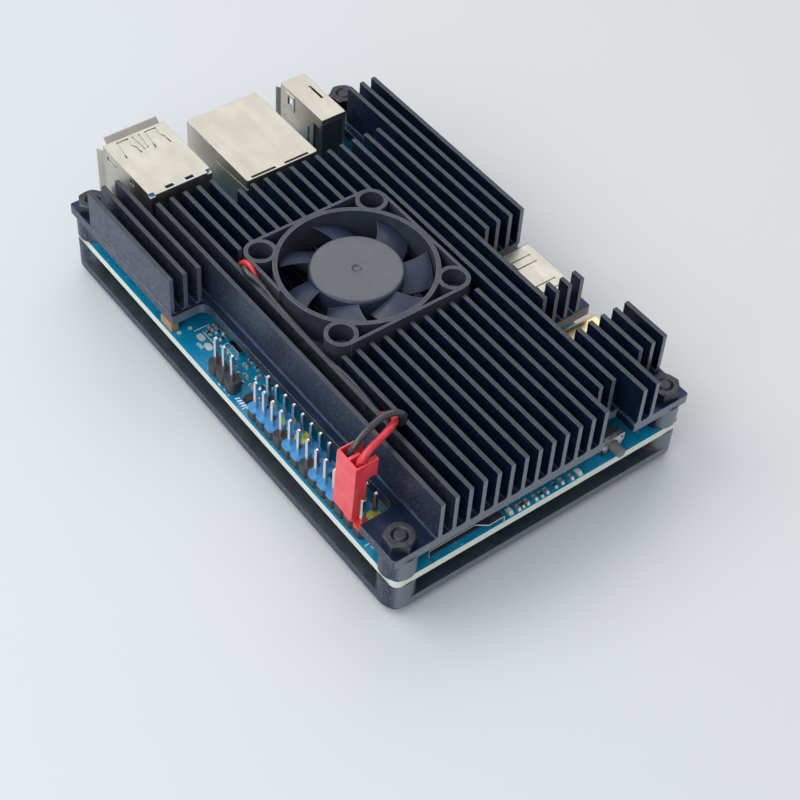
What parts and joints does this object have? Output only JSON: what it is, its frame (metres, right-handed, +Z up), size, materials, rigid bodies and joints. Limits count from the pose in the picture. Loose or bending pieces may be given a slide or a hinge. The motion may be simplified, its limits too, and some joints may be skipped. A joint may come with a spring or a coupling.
{
  "type": "single board computer",
  "caption": "Credit-card style computer board under a finned aluminium heatsink with a small axial fan, pin header, network, USB, video, power and card sockets.",
  "frame": {"origin": "middle of the four-screw corner pattern, on the plane the screw heads stand on", "axes": "+Z up out of the heatsink, +X along the long side away from the network socket, +Y towards the long edge with the video port"},
  "size_m": [0.1034, 0.0645, 0.0283],
  "materials": {
    "anodised_heatsink": "satin anodised, dark",
    "anodised_plate": "satin anodised",
    "black_nut_steel": "black oxide",
    "black_screw_steel": "black oxide",
    "blue_laminate": "solder mask over glass laminate",
    "button_black": "moulded",
    "button_metal": "satin nickel",
    "cap_black": "moulded",
    "cap_blue": "moulded",
    "cap_red": "moulded",
    "cap_yellow": "moulded",
    "capacitor_brown": "moulded",
    "capacitor_tan": "fired ceramic with tinned ends",
    "chip_black": "moulded epoxy",
    "coil_copper": "enamelled wire",
    "contact_gold": "gold flashed",
    "crystal_metal": "satin",
    "fan_frame_plastic": "fine moulded",
    "fan_rotor_plastic": "fine moulded",
    "fan_screw_steel": "plated",
    "header_black": "moulded",
    "inductor_grey": "pressed ferrite",
    "insert_black": "moulded",
    "insert_blue": "moulded",
    "lead_black": "extruded insulation",
    "lead_red": "extruded insulation",
    "led_clear": "clear moulded",
    "light_clear": "clear moulded",
    "magnet_ferrite": "bonded ferrite",
    "motor_board_laminate": "solder mask",
    "pad_grey": "silicone",
    "pin_metal": "bright plated",
    "plug_contact_metal": "tin plated",
    "plug_red": "moulded",
    "plunger_grey": "moulded",
    "resistor_black": "glazed with tinned ends",
    "shaft_steel": "ground",
    "shell_card": "satin nickel",
    "shell_gold": "gold flashed",
    "shell_nickel": "satin nickel",
    "shell_nickel_warm": "satin nickel",
    "sleeve_bronze": "sintered, oil filled",
    "stator_steel": "laminated"
  },
  "bodies": {
    "board": {"bottom_plate": "anodised_plate", "capacitors": "capacitor_tan", "card_socket_base": "insert_black", "card_socket_contacts": "contact_gold", "card_socket_shell": "shell_card", "circuit_board": "blue_laminate", "corner_nuts": "black_nut_steel", "corner_screws": "black_screw_steel", "crystals": "crystal_metal", "debug_header_base": "header_black", "debug_header_pins": "pin_metal", "ethernet_contacts": "contact_gold", "ethernet_insert": "insert_black", "ethernet_lights": "light_clear", "ethernet_shell": "shell_nickel_warm", "fan_bearing": "sleeve_bronze", "fan_circuit_board": "motor_board_laminate", "fan_frame": "fan_frame_plastic", "fan_plug": "plug_red", "fan_plug_contacts": "plug_contact_metal", "fan_screws": "fan_screw_steel", "fan_stator_coils": "coil_copper", "fan_stator_core": "stator_steel", "fan_wire_black": "lead_black", "fan_wire_red": "lead_red", "gpio_caps_black": "cap_black", "gpio_caps_blue": "cap_blue", "gpio_caps_red": "cap_red", "gpio_caps_yellow": "cap_yellow", "gpio_header_base": "header_black", "gpio_header_pins": "pin_metal", "hdmi_contacts": "contact_gold", "hdmi_insert": "insert_black", "hdmi_shell": "shell_nickel", "heatsink": "anodised_heatsink", "memory_chips": "chip_black", "network_chip": "chip_black", "power_button_body": "button_black", "power_button_bracket": "button_metal", "power_chips": "chip_black", "power_inductors": "inductor_grey", "processor": "chip_black", "resistors": "resistor_black", "small_chips": "chip_black", "status_leds": "led_clear", "tantalum_capacitor": "capacitor_brown", "thermal_pads": "pad_grey", "usb_c_shell": "shell_gold", "usb_c_tongue": "insert_black", "usb_stack_contacts": "contact_gold", "usb_stack_insert": "insert_blue", "usb_stack_shell": "shell_nickel", "usb_upright_contacts": "contact_gold", "usb_upright_insert": "insert_black", "usb_upright_shell": "shell_nickel_warm"},
    "rotor": {"fan_rotor": "fan_rotor_plastic", "fan_magnet": "magnet_ferrite", "fan_shaft": "shaft_steel"},
    "plunger": {"power_button_plunger": "plunger_grey"}
  },
  "joints": [
    {"name": "fan_spin", "type": "hinge", "parent": "board", "child": "rotor", "pos_m": [0.00015, -0.00295, 0.0205], "axis": [0, 0, 1], "continuous": true},
    {"name": "power_button", "type": "slide", "parent": "board", "child": "plunger", "axis": [-1, 0, 0], "range_m": [0, 0.00025]}
  ]
}
